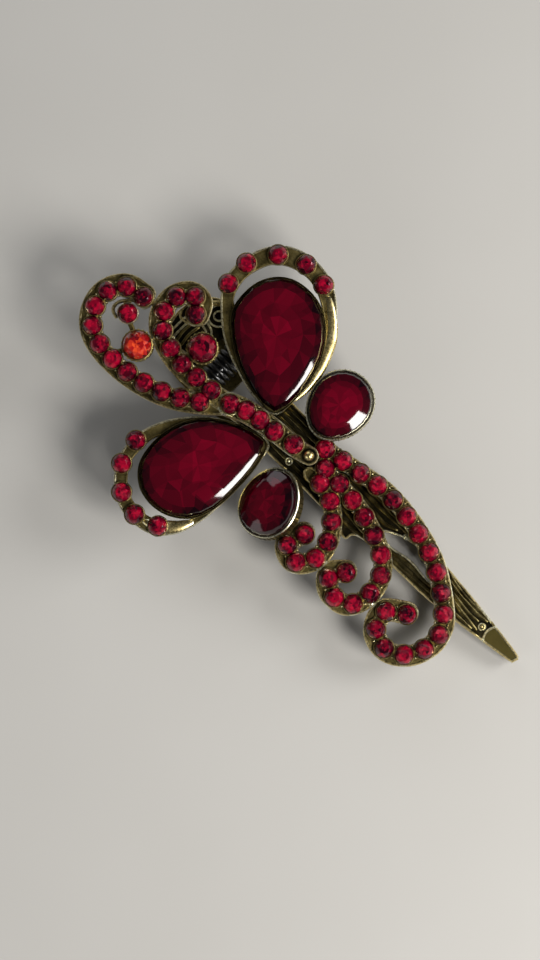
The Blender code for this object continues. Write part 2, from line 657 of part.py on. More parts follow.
lower_jaw()
upper_jaw(pivot)
hinge_pin()
torsion_spring()
for wing_side, wing in FORE_WINGS.items():
    fore_wing(wing_side, wing, pivot)
for wing_side, wing in HIND_WINGS.items():
    hind_wing(wing_side, wing, pivot)
body_casting(pivot)
body_stones(pivot)
rivet(pivot)
taken = [
    grown(egg(w["long_half"], w["short_half"], w["direction"]), CUP_WALL + GAP) + w["centre"]
    for w in HIND_WINGS.values()
]
for scroll_name, scroll_shape in SCROLLS.items():
    taken.append(scroll(scroll_name, scroll_shape, pivot, taken))
    scroll_stones(scroll_name, scroll_shape, pivot)
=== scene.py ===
"""Looks of the alligator hair clip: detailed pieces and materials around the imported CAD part.

Lengths are millimetres until a piece is made. Most pieces are modelled in the upper jaw's own frame,
which starts on the hinge pin's axis: u along the jaw, v across it, w away from its face.
"""

import json
import math
import random

import bmesh
import bpy
import numpy as np
from mathutils import Matrix, Vector
from mathutils.geometry import tessellate_polygon

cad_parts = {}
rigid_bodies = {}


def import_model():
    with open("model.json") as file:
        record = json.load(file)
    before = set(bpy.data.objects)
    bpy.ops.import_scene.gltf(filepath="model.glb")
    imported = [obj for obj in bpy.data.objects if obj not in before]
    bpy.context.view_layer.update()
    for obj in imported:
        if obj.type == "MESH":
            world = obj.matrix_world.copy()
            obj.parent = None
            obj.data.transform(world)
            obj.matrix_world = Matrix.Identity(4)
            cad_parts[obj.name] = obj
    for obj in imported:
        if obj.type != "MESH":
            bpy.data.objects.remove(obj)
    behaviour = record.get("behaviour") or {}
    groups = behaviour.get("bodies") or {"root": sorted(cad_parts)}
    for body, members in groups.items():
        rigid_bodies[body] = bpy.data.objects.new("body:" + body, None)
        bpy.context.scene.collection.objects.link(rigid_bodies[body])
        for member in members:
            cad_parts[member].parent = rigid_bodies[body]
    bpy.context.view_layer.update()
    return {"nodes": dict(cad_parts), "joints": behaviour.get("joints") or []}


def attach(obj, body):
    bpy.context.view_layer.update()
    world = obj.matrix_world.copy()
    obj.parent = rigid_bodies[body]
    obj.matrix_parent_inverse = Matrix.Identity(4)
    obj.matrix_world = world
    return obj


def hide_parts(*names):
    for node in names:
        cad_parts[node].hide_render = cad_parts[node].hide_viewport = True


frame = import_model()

MM = 0.001
HINGE = frame["joints"][0]
PIN_HEIGHT = HINGE["pos_m"][2] / MM
JAW_SLOPE = math.radians(7)
UPPER, LOWER = HINGE["child"], HINGE["parent"]
JAW = Matrix.Translation(HINGE["pos_m"]) @ Matrix.Rotation(JAW_SLOPE, 4, "Y")

# Levels above the pin's axis, in the jaw's frame
UPPER_SHEET = 4.3
JAW_TOP = 5.5
WING_BASE = 5.8
SCROLL_TOP = 7.2
BODY_BASE = 8.9
BODY_TOP = 10.3
LOOP_LOW, LOOP_HIGH = 0.2, 1.7  # above a wing's own base
CUP_DEPTH = 2.8
CUP_WALL = 0.6
GEM_BASE = 1.15  # the underside of a large stone, above its wing's base
GEM_RISE = 3.2
GEM_SHOULDER = 0.55  # from the girdle in to the top of its wall
GEM_EDGE = 1.8  # from the girdle in to the end of the first facets
GEM_MARGIN = 0.25  # from the drawn outline out to the girdle
STONE = 1.76  # radius of a small stone
STONE_HEIGHT = 1.5
# Painted light in a small stone's facets: the girdle facets darker as painted shade, the table's middle
# lighter.
STONE_TONES = (0.5, 0.45, 0.3, 0.5, 0.6)  # star, kite and girdle facets, then the table's two rounds
MEDIUM_STONE = 2.6
MEDIUM_SIDES = 10
RIM_DROP = 0.22  # from the top of a band down to the middle of its raised rim
COLLET_FIT = 0.02  # between a small stone and its collet
COLLET_RISE = 0.72
BEAD_SPAN = 4.6  # stones further apart than this have no beads between them
BEAD_OFFSET = 1.15  # of those beads from the band's middle

# The hinge, its pin and the spring on it: the sizes of the CAD part, with more points in the coil
EAR_RADIUS = 2.1
EAR_FOOT = 2.7  # half the width of an ear where it joins its jaw
EAR_SHEET = 0.8
UPPER_EAR, LOWER_EAR = 5.2, 6.3  # inner faces of the ears, from the middle
PIN_HOLE = 0.97
PIN_RADIUS = 0.9
PIN_PLAY = 0.1  # between an ear and the head of the pin
LOWER_SHEET = 1.2
WIRE = 0.42  # radius of the spring's wire
COIL_TURNS = 7.5
COIL_PITCH = 1.12
COIL_RADIUS = 2.2
COIL_STEPS = 28  # points in one turn
SPRING_LEG = 7.0
LEG_OVERLAP = 5  # points of the coil that the upper leg shares, so that the two stay joined

rng = random.Random(11)


# ---------------------------------------------------------------- outlines


def smooth_path(points, steps=8):
    """A Catmull-Rom curve through the points, in two or three dimensions."""
    knots = np.array(points, float)
    knots = np.vstack([2 * knots[0] - knots[1], knots, 2 * knots[-1] - knots[-2]])
    path = []
    for a, b, c, d in zip(knots, knots[1:], knots[2:], knots[3:]):
        for t in np.arange(steps) / steps:
            bend = 2 * a - 5 * b + 4 * c - d
            path.append(b + 0.5 * ((c - a) * t + bend * t**2 + (3 * b - a - 3 * c + d) * t**3))
    return np.array([*path, knots[-2]])


def smooth_loop(points, steps=6):
    wrapped = [points[-1], *points, points[0], points[1]]
    return smooth_path(wrapped, steps)[steps : -steps - 1]


def path_lengths(path):
    return np.concatenate([[0], np.cumsum(np.linalg.norm(np.diff(path, axis=0), axis=1))])


def points_at(path, marks):
    """Points at the given distances along a path."""
    lengths = path_lengths(path)
    return np.column_stack([np.interp(marks, lengths, path[:, axis]) for axis in range(path.shape[1])])


def even_points(path, count, skip=0.0):
    return points_at(path, np.linspace(skip, path_lengths(path)[-1], count))


def resampled(outline, count, phase=0.0):
    """Evenly spaced points round a closed outline, starting from its last point."""
    loop = np.vstack([outline[-1:], outline])
    total = path_lengths(loop)[-1]
    return points_at(loop, ((np.arange(count) + phase) / count * total) % total)


def arc(centre, radius, start, end, count):
    angles = np.radians(np.linspace(start, end, count))
    return np.column_stack([centre[0] + radius * np.cos(angles), centre[1] + radius * np.sin(angles)])


def circle(centre, radius, sides=24):
    return arc(centre, radius, 0, 360, sides + 1)[:-1]


def outside_points(side, path, half):
    """One edge of a band without the points that a tight curl would push inside the band."""
    distance = np.linalg.norm(side[:, None] - path[None], axis=2) - half[:, 0][None]
    return side[distance.min(axis=1) > -0.005]


def ribbon(path, start_width, end_width, round_steps=9, grow=0.0):
    """The outline of a flat band along a path, with round ends and a steady taper."""
    heading = np.gradient(path, axis=0)
    heading /= np.linalg.norm(heading, axis=1)[:, None]
    across = np.column_stack([-heading[:, 1], heading[:, 0]])
    half = np.linspace(start_width, end_width, len(path))[:, None] / 2 + grow
    left = outside_points(path + across * half, path, half)
    right = outside_points(path - across * half, path, half)
    end_angle = math.degrees(math.atan2(across[-1][1], across[-1][0]))
    start_angle = math.degrees(math.atan2(across[0][1], across[0][0]))
    nose = arc(path[-1], end_width / 2 + grow, end_angle, end_angle - 180, round_steps + 2)[1:-1]
    heel = arc(path[0], start_width / 2 + grow, start_angle + 180, start_angle, round_steps + 2)[1:-1]
    return np.vstack([left, nose, right[::-1], heel])


def grown(outline, distance):
    """A closed outline moved outwards by a small distance, or inwards by a negative one."""
    heading = np.roll(outline, -1, axis=0) - np.roll(outline, 1, axis=0)
    heading /= np.linalg.norm(heading, axis=1)[:, None]
    after = np.roll(outline, -1, axis=0)
    turning = math.copysign(1, np.sum(outline[:, 0] * after[:, 1] - after[:, 0] * outline[:, 1]))
    return outline + np.column_stack([heading[:, 1], -heading[:, 0]]) * turning * distance


def scaled(outline, share):
    """A closed outline drawn in towards its middle."""
    middle = outline.mean(axis=0)
    return middle + (outline - middle) * share


def egg(long_half, short_half, direction, sides=44):
    """An oval whose end in the given direction is a little fuller than the other."""
    angles = 2 * math.pi * np.arange(1, sides + 1) / sides
    along = long_half * np.cos(angles)
    across = short_half * np.sin(angles) * (1 + 0.10 * np.cos(angles))
    turn = math.radians(direction)
    x = along * math.cos(turn) - across * math.sin(turn)
    y = along * math.sin(turn) + across * math.cos(turn)
    return np.column_stack([x, y])


def lifted(path, height):
    """A flat path at a height, or with a height for each point."""
    return np.column_stack([path, np.broadcast_to(height, len(path))])


# ---------------------------------------------------------------- shapes as (points, faces)


def upright(shape):
    """Stands a shape drawn as (x, z, depth) up, with its depth along Y."""
    points, faces = shape
    points = np.asarray(points, float)
    return points[:, [0, 2, 1]], faces


def plate(outlines, low, high):
    """A flat plate between two heights. An outline inside another one is a hole."""
    flat = [[Vector((x, y, 0)) for x, y in outline] for outline in outlines]
    corners = np.vstack([np.asarray(outline, float) for outline in outlines])
    caps = tessellate_polygon(flat)
    count = len(corners)
    points = np.vstack([lifted(corners, low), lifted(corners, high)])
    faces = [tuple(cap) for cap in caps] + [tuple(i + count for i in cap) for cap in caps]
    start = 0
    for outline in outlines:
        size = len(outline)
        for i in range(size):
            j = (i + 1) % size
            faces.append((start + i, start + j, count + start + j, count + start + i))
        start += size
    return points, faces


def loft(rings, close_ring=True, cap_start=True, cap_end=True):
    """Quads between rings of one length, with flat caps."""
    size = len(rings[0])
    points = np.vstack(rings)
    faces = []
    for k in range(len(rings) - 1):
        for i in range(size if close_ring else size - 1):
            j = (i + 1) % size
            faces.append((k * size + i, k * size + j, (k + 1) * size + j, (k + 1) * size + i))
    if cap_start:
        faces.append(tuple(range(size)))
    if cap_end:
        faces.append(tuple(range(len(points) - size, len(points))))
    return points, faces


def tube(path, radii, flat=1.0, sides=8, closed=False):
    """A rod along a path whose cross-section keeps its height upright, scaled by flat."""
    path = np.asarray(path, float)
    radii = np.broadcast_to(radii, len(path)).astype(float)
    if closed:
        heading = np.roll(path, -1, axis=0) - np.roll(path, 1, axis=0)
    else:
        heading = np.gradient(path, axis=0)
    heading /= np.linalg.norm(heading, axis=1)[:, None]
    up = np.array([0, 0, 1.0])
    across = np.cross(up, heading)
    across /= np.linalg.norm(across, axis=1)[:, None]
    rise = np.cross(heading, across)
    angles = 2 * math.pi * (np.arange(sides) + 0.5) / sides

    def ring(i, share=1.0, slide=0.0):
        centre = path[i] + heading[i] * slide
        return np.array([
            centre + radii[i] * share * (across[i] * math.cos(a) + rise[i] * flat * math.sin(a))
            for a in angles
        ])

    rings = [ring(i) for i in range(len(path))]
    if closed:
        return loft([*rings, rings[0]], cap_start=False, cap_end=False)
    last = len(path) - 1
    rings = [ring(0, 0.55, -0.6 * radii[0]), *rings, ring(last, 0.55, 0.6 * radii[last])]
    return loft(rings)


def coil(path, radius, sides=10):
    """A round wire along any path in space."""
    path = np.asarray(path, float)
    heading = np.gradient(path, axis=0)
    heading /= np.linalg.norm(heading, axis=1)[:, None]
    normal = np.cross(heading[0], (0.0, 0.3, 1.0))
    rings = []
    for centre, ahead in zip(path, heading):
        normal = normal - ahead * normal.dot(ahead)
        normal /= np.linalg.norm(normal)
        side = np.cross(ahead, normal)
        rings.append(np.array([
            centre + radius * (normal * math.cos(a) + side * math.sin(a))
            for a in 2 * math.pi * np.arange(sides) / sides
        ]))
    return loft(rings)


def revolved(centre, profile, base=0.0, sides=24, closed=False):
    """A turned shape from (radius, height) pairs; a closed profile makes a ring."""
    rings = [lifted(circle(centre, max(r, 0.01), sides), base + h) for r, h in profile]
    if closed:
        return loft([*rings, rings[0]], cap_start=False, cap_end=False)
    return loft(rings)


def bead(centre, radius, base, height, sides=10):
    """A small dome, sunk a little at its foot."""
    profile = [(radius, -0.15)] + [
        (radius * math.cos(t), height * math.sin(t)) for t in np.radians((0, 25, 50, 72, 86))
    ]
    return revolved(centre, profile, base, sides)


def collet(centre, radius, base, height, thickness=0.16, sides=24):
    """The thin wall round a stone's girdle."""
    profile = [(radius, 0), (radius, height), (radius + 0.4 * thickness, height + 0.06),
               (radius + thickness, height - 0.03), (radius + thickness + 0.06, 0)]
    return revolved(centre, profile, base, sides, closed=True)


# ---------------------------------------------------------------- pieces


class Build:
    """A mesh in the making. Every face keeps its finish and its tone, from 0 dark to 1 bright."""

    def __init__(self):
        self.points, self.faces, self.finishes, self.tones, self.rounded = [], [], [], [], []

    def add(self, shape, finish, rounded=True, tones=0.5):
        points, faces = shape
        start = len(self.points)
        self.points += [tuple(p) for p in points]
        self.faces += [tuple(i + start for i in face) for face in faces]
        self.finishes += [finish] * len(faces)
        self.tones += list(np.broadcast_to(tones, len(faces)))
        self.rounded += [rounded] * len(faces)

    def piece(self, name, body, replaced=(), place=JAW):
        """Makes the object in the world's frame and says what it rides on and stands for."""
        finishes = sorted(set(self.finishes))
        mesh = bpy.data.meshes.new(name)
        world = [place @ (Vector(p) * MM) for p in self.points]
        mesh.from_pydata(world, [], self.faces)
        for finish in finishes:
            mesh.materials.append(FINISHES[finish])
        mesh.polygons.foreach_set("material_index", [finishes.index(f) for f in self.finishes])
        mesh.polygons.foreach_set("use_smooth", self.rounded)
        tone = mesh.attributes.new("tone", "FLOAT", "FACE")
        tone.data.foreach_set("value", np.array(self.tones, np.float32))
        body_mesh = bmesh.new()
        body_mesh.from_mesh(mesh)
        bmesh.ops.remove_doubles(body_mesh, verts=body_mesh.verts, dist=1e-7)
        bmesh.ops.recalc_face_normals(body_mesh, faces=body_mesh.faces)
        body_mesh.to_mesh(mesh)
        body_mesh.free()
        if hasattr(mesh, "set_sharp_from_angle"):
            mesh.set_sharp_from_angle(angle=math.radians(38))
        obj = bpy.data.objects.new(name, mesh)
        bpy.context.scene.collection.objects.link(obj)
        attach(obj, body)
        if replaced:
            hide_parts(*replaced)
        return obj


# ---------------------------------------------------------------- materials


def new_material(name):
    material = bpy.data.materials.new(name)
    material.use_nodes = True
    tree = material.node_tree
    return material, tree, tree.nodes["Principled BSDF"]


def add_node(tree, kind, settings=None, **inputs):
    """A shader node with its settings; an input is a value or another node's output."""
    node = tree.nodes.new(kind)
    for key, value in (settings or {}).items():
        setattr(node, key, value)
    for key, value in inputs.items():
        socket = node.inputs[int(key[1:])] if key[0] == "_" else node.inputs[key]
        if isinstance(value, bpy.types.NodeSocket):
            tree.links.new(value, socket)
        else:
            socket.default_value = value
    return node


def place_of(tree):
    return add_node(tree, "ShaderNodeTexCoord").outputs["Object"]


def noise(tree, scale, detail=4.0, roughness=0.55):
    """Noise in the object's own place, with the scale in features per metre."""
    return add_node(tree, "ShaderNodeTexNoise", Vector=place_of(tree), Scale=scale, Detail=detail,
                    Roughness=roughness).outputs["Fac"]


def ramp(tree, value, stops):
    """Colours or greys along a value."""
    node = add_node(tree, "ShaderNodeValToRGB", _0=value)
    elements = node.color_ramp.elements
    while len(elements) < len(stops):
        elements.new(0.5)
    for element, (position, colour) in zip(elements, stops):
        element.position = position
        element.color = (*colour, 1) if isinstance(colour, tuple) else (colour, colour, colour, 1)
    return node.outputs["Color"]


def mixed(tree, share, a, b, blend="MIX"):
    node = tree.nodes.new("ShaderNodeMix")
    node.data_type = "RGBA"
    node.blend_type = blend
    for socket, value in ((node.inputs[0], share), (node.inputs[6], a), (node.inputs[7], b)):
        if isinstance(value, bpy.types.NodeSocket):
            tree.links.new(value, socket)
        elif isinstance(value, tuple):
            socket.default_value = (*value, 1)
        else:
            socket.default_value = value
    return node.outputs[2]


def bump(tree, height, strength, distance):
    return add_node(tree, "ShaderNodeBump", Height=height, Strength=strength,
                    Distance=distance).outputs["Normal"]


WEAR_DEPTH = 0.00016  # how near an edge the metal is worn bright, in metres
RESIN_ROUGHNESS, FOIL_ROUGHNESS = 0.07, 0.22


def metal(name, dark, middle, bright, rough, grain, patina, worn=1.7, depth=WEAR_DEPTH):
    """Cast metal: a mottled colour, painted shade in its corners, worn edges and a fine grain."""
    material, tree, shader = new_material(name)
    link = tree.links.new
    cloud = noise(tree, 420, 5)
    speck = noise(tree, 2600, 3, 0.7)
    colour = ramp(tree, cloud, [(0.30, dark), (0.52, middle), (0.78, bright)])
    specks = ramp(tree, speck, [(0.36, 0.0), (0.52, 1.0)])
    colour = mixed(tree, patina, colour, mixed(tree, 1.0, colour, specks, "MULTIPLY"))
    # Painted shade: ambient occlusion darkens the colour in corners and hollows.
    shade_occlusion = add_node(tree, "ShaderNodeAmbientOcclusion", {"samples": 6}, Distance=0.0009)
    painted_corner_shade = ramp(tree, shade_occlusion.outputs["AO"], [(0.25, 0.16), (0.85, 1.0)])
    colour = mixed(tree, 1.0, colour, painted_corner_shade, "MULTIPLY")
    edge = add_node(tree, "ShaderNodeAmbientOcclusion", {"samples": 6, "inside": True}, Distance=depth)
    wear = ramp(tree, edge.outputs["AO"], [(0.35, 0.75), (0.62, 0.0)])
    colour = mixed(tree, wear, colour, tuple(min(1.0, worn * c) for c in bright))
    link(colour, shader.inputs["Base Color"])
    shader.inputs["Metallic"].default_value = 1.0
    link(ramp(tree, speck, [(0.3, rough + 0.14), (0.7, rough - 0.08)]), shader.inputs["Roughness"])
    link(bump(tree, mixed(tree, 0.5, speck, cloud), grain, 0.00012), shader.inputs["Normal"])
    return material


def stone(name, dark, middle, bright, metallic, cell, shake, spread, coat=1.0):
    """A stone with a painted brightness for every facet, broken up by a painted mosaic of reflections from
    behind.

    A metallic share stands for the foil behind glass; a stone without one is resin.
    """
    material, tree, shader = new_material(name)
    link = tree.links.new
    tone = add_node(tree, "ShaderNodeAttribute", {"attribute_name": "tone"}).outputs["Fac"]
    # Painted reflections: Voronoi cells add bright and dark patches to each facet's painted tone, and the
    # same cells tilt its normals.
    cells = add_node(tree, "ShaderNodeTexVoronoi", Vector=place_of(tree), Scale=cell)
    inner = add_node(tree, "ShaderNodeSeparateColor", _0=cells.outputs["Color"]).outputs[0]
    value = add_node(tree, "ShaderNodeMath", {"operation": "MULTIPLY_ADD"}, _0=inner, _1=spread)
    link(tone, value.inputs[2])
    centred = add_node(tree, "ShaderNodeMath", {"operation": "SUBTRACT"}, _0=value.outputs[0],
                       _1=0.5 * spread)
    colour = ramp(tree, centred.outputs[0], [(0.08, dark), (0.48, middle), (0.95, bright)])
    # Painted shade: the stone darkens at its edges and where it meets its collet.
    shade_occlusion = add_node(tree, "ShaderNodeAmbientOcclusion", {"samples": 6}, Distance=0.0011)
    rim = ramp(tree, shade_occlusion.outputs["AO"], [(0.3, 0.35), (0.9, 1.0)])
    link(mixed(tree, 1.0, colour, rim, "MULTIPLY"), shader.inputs["Base Color"])
    offset = add_node(tree, "ShaderNodeVectorMath", {"operation": "SUBTRACT"}, _0=cells.outputs["Color"],
                      _1=(0.5, 0.5, 0.5))
    turned = add_node(tree, "ShaderNodeVectorMath", {"operation": "SCALE"}, _0=offset.outputs[0])
    turned.inputs["Scale"].default_value = shake
    face = add_node(tree, "ShaderNodeNewGeometry").outputs["Normal"]
    tilted = add_node(tree, "ShaderNodeVectorMath", {"operation": "ADD"}, _0=face, _1=turned.outputs[0])
    normal = add_node(tree, "ShaderNodeVectorMath", {"operation": "NORMALIZE"}, _0=tilted.outputs[0])
    link(normal.outputs[0], shader.inputs["Normal"])
    link(face, shader.inputs["Coat Normal"])
    shader.inputs["Metallic"].default_value = metallic
    shader.inputs["Roughness"].default_value = FOIL_ROUGHNESS if metallic else RESIN_ROUGHNESS
    shader.inputs["Coat Weight"].default_value = coat
    shader.inputs["Coat Roughness"].default_value = 0.02
    return material


def floor_material():
    material, tree, shader = new_material("pale_floor")
    cloud = noise(tree, 6, 4)
    tree.links.new(ramp(tree, cloud, [(0.3, (0.44, 0.425, 0.395)), (0.7, (0.49, 0.476, 0.448))]),
                   shader.inputs["Base Color"])
    shader.inputs["Roughness"].default_value = 0.55
    return material


FINISHES = {
    "brass": metal("antique_brass", (0.06, 0.046, 0.018), (0.21, 0.165, 0.058), (0.46, 0.37, 0.15),
                   rough=0.38, grain=0.20, patina=0.5),
    "panel": metal("plain_brass", (0.025, 0.020, 0.006), (0.046, 0.036, 0.010), (0.075, 0.060, 0.018),
                   rough=0.42, grain=0.20, patina=0.5, worn=1.0),
    "rim": metal("polished_brass", (0.36, 0.28, 0.11), (0.70, 0.56, 0.25), (0.94, 0.82, 0.46),
                 rough=0.27, grain=0.03, patina=0.05, depth=1.5 * WEAR_DEPTH),
    "worn": metal("worn_brass", (0.016, 0.012, 0.005), (0.075, 0.060, 0.024), (0.26, 0.21, 0.085),
                  rough=0.30, grain=0.25, patina=0.5, worn=1.2),
    "groove": metal("dark_patina", (0.004, 0.0035, 0.002), (0.012, 0.010, 0.005), (0.045, 0.036, 0.016),
                    rough=0.60, grain=0.5, patina=0.6),
    "steel": metal("dark_steel", (0.06, 0.058, 0.055), (0.13, 0.13, 0.13), (0.30, 0.30, 0.30),
                   rough=0.30, grain=0.15, patina=0.3),
    "ruby": stone("ruby_glass", (0.02, 0.0, 0.004), (0.15, 0.0, 0.012), (0.40, 0.001, 0.024),
                  metallic=0.25, cell=700, shake=0.30, spread=0.4, coat=0.12),
    "orange": stone("orange_red_glass", (0.09, 0.0, 0.005), (0.42, 0.006, 0.007), (0.90, 0.085, 0.02),
                    metallic=0.25, cell=600, shake=0.4, spread=0.46),
    "wine": stone("wine_resin", (0.004, 0.0, 0.001), (0.085, 0.0, 0.006), (0.22, 0.0, 0.014),
                  metallic=0.0, cell=230, shake=0.03, spread=0.16, coat=0.1),
}


# ---------------------------------------------------------------- stones


def cut_crown(girdle, middle, table, base, girdle_top, middle_top, table_top, tones):
    """A cut stone from three outlines; the girdle has twice as many points as the other two.

    The table is split into wedges with tones of their own, painted reflections of the facets behind it. The
    girdle's wall and underside are painted dark as shade.
    """
    n = len(table)
    heart = np.mean(table, axis=0)
    inner = heart + (np.asarray(table) - heart) * 0.5
    points = np.vstack([
        lifted(girdle, base), lifted(girdle, girdle_top), lifted(middle, middle_top),
        lifted(table, table_top), lifted(inner, table_top), lifted(heart[None], table_top),
    ])
    low, rim, mid, top, core, centre = 0, 2 * n, 4 * n, 5 * n, 6 * n, 7 * n
    faces, shades = [], []

    def face(corners, tone):
        faces.append(corners)
        shades.append(min(1.0, max(0.0, tone)))

    for i in range(2 * n):
        j = (i + 1) % (2 * n)
        face((low + i, low + j, rim + j, rim + i), 0.1)
    for k in range(n):
        after, before = (k + 1) % n, (k - 1) % n
        face((top + k, top + after, mid + k), tones[0] + rng.uniform(-0.25, 0.3))
        face((top + k, mid + k, rim + 2 * k, mid + before), tones[1] + rng.uniform(-0.3, 0.3))
        split = rng.uniform(-0.25, 0.25)
        face((mid + k, rim + 2 * k, rim + 2 * k + 1), tones[2] + split)
        face((mid + k, rim + 2 * k + 1, rim + (2 * k + 2) % (2 * n)), tones[2] - split)
        face((top + k, top + after, core + after, core + k), tones[3] + rng.uniform(-0.35, 0.3))
        face((core + k, core + after, centre), tones[4] + rng.uniform(-0.35, 0.35))
    face(tuple(range(2 * n)), 0.0)
    return (points, faces), shades


def small_stone(centre, base, turn, lift):
    """A small cut stone, turned about its own axis; lift makes all its facets brighter or darker."""
    def ring(share, phase, count):
        return arc(centre, share * STONE, turn + phase, turn + phase + 360, count + 1)[:-1]

    sides = 8
    step = 360 / sides
    tones = tuple(tone + lift for tone in STONE_TONES)
    return cut_crown(ring(1.0, 0, 2 * sides), ring(0.80, step / 2, sides), ring(0.56, 0, sides), base,
                     base + 0.34 * STONE_HEIGHT, base + 0.74 * STONE_HEIGHT, base + STONE_HEIGHT, tones)


def node_middle(node, place=JAW):
    """The middle of a CAD node's box and the height of its underside, in a frame, in millimetres."""
    inverse = place.inverted()
    corners = np.array([inverse @ v.co for v in frame["nodes"][node].data.vertices]) / MM
    low, high = corners.min(axis=0), corners.max(axis=0)
    return (low + high) / 2, low[2]


def single_stone(node, place=JAW):
    """One small ruby stone where the CAD node stands, riding with the upper jaw."""
    middle, base = node_middle(node, place)
    lift = rng.uniform(-0.25, 0.2)
    shape, tones = small_stone(middle[:2], base, rng.uniform(0, 45), lift * 0.6)
    build = Build()
    build.add(shape, "ruby", rounded=False, tones=tones)
    build.piece(node.replace("stone", "brilliant"), UPPER, (node,), place)


# ---------------------------------------------------------------- the wings

# A forewing's gem sits in a cup on a flat loop, and the gap is the crescent between them. The swell is
# where the loop's rim is broadest; it is raised and made in bright polished brass, partly a painted
# highlight on that side of the loop. Outlines and places are in the jaw's frame.
FORE_WINGS = {
    "left": {
        "centre": (4.0, 11.0),
        "gem": [(-5.5, 12.2), (-5.2, 15.2), (-3.8, 17.9), (-1.4, 19.8), (2.0, 20.5), (5.6, 19.9),
                (8.9, 17.8), (11.6, 14.2), (13.2, 9.6), (13.7, 4.8), (12.9, 1.2), (8.9, 1.1),
                (4.8, 2.1), (0.7, 4.0), (-3.2, 6.9), (-5.0, 9.3)],
        "loop": [(-10.8, 13.4), (-10.6, 17.0), (-9.4, 20.7), (-7.0, 23.7), (-3.6, 25.4), (0.2, 25.8),
                 (4.0, 25.0), (7.7, 22.5), (10.8, 18.8), (13.2, 13.2), (14.0, 8.6), (14.2, 4.4),
                 (13.4, 0.6), (8.2, 0.3), (2.8, 1.6), (-2.6, 3.8), (-6.9, 7.2), (-9.8, 10.4)],
        "gap": [(-7.9, 14.2), (-7.0, 18.3), (-5.4, 20.5), (-3.0, 21.9), (0.2, 22.5), (3.3, 21.8),
                (6.2, 20.2), (8.6, 18.0), (7.0, 14.0), (2.0, 11.0), (-3.5, 9.5), (-6.6, 10.2)],
        "stones": [(-9.3, 11.6), (-9.6, 16.6), (-6.6, 21.7), (-1.7, 24.0), (3.2, 23.6)],
        "swell": [(5.4, 22.6), (7.6, 21.0), (10.9, 17.6), (13.0, 13.0), (14.0, 8.8), (14.0, 5.0)],
    },
    "right": {
        "centre": (9.5, -16.0),
        "gem": [(1.9, -17.8), (2.6, -22.3), (5.2, -25.2), (8.8, -26.2), (12.6, -25.4), (15.8, -22.8),
                (17.4, -18.6), (17.6, -13.2), (17.2, -8.2), (15.9, -4.6), (12.6, -4.9), (8.6, -6.6),
                (4.8, -9.6), (2.6, -13.6)],
        "loop": [(-1.9, -20.5), (-1.3, -24.6), (0.6, -27.8), (3.6, -30.3), (7.2, -31.5), (11.0, -31.2),
                 (14.0, -29.8), (16.4, -26.6), (17.8, -21.6), (18.1, -16.5), (18.0, -12.6),
                 (17.6, -8.0), (16.6, -3.8), (12.6, -4.2), (8.0, -6.2), (3.8, -9.4), (0.8, -13.0),
                 (-1.1, -16.8)],
        "gap": [(0.6, -21.0), (1.0, -24.0), (3.3, -27.1), (6.7, -28.7), (10.4, -28.5), (13.6, -26.5),
                (16.2, -22.8), (14.5, -18.0), (9.0, -15.0), (3.5, -15.0), (1.0, -17.6)],
        "stones": [(-1.1, -20.4), (0.0, -25.2), (3.7, -28.9), (8.2, -30.1), (12.7, -28.6)],
        "swell": [(10.4, -29.7), (12.8, -28.6), (15.2, -26.4), (16.6, -23.8)],
    },
}
# Tilt turns a hindwing about its long axis, so that the side towards the tips stands higher.
HIND_WINGS = {
    "left": {"centre": (20.7, 10.0), "long_half": 6.3, "short_half": 5.3, "direction": 95, "tilt": 0},
    "right": {"centre": (24.9, -11.0), "long_half": 6.1, "short_half": 5.3, "direction": 288, "tilt": 25},
}


def wing_place(shape):
    """The frame of a wing's underside, in the world."""
    long_axis = Matrix.Rotation(math.radians(shape.get("direction", 0)), 4, "Z")
    tilt = Matrix.Rotation(math.radians(shape.get("tilt", 0)), 4, "X")
    x, y = shape["centre"]
    middle = Matrix.Translation((x * MM, y * MM, WING_BASE * MM))
    return JAW @ middle @ long_axis @ tilt @ long_axis.inverted()


def big_gem(name, node, outline, place):
    """A large resin stone, a little wider than the drawn outline, so that it meets its cup's lip."""
    build = Build()
    shape, tones = cut_gem(grown(outline, GEM_MARGIN))
    build.add(shape, "wine", rounded=False, tones=tones)
    build.piece(name, UPPER, (node,), place)


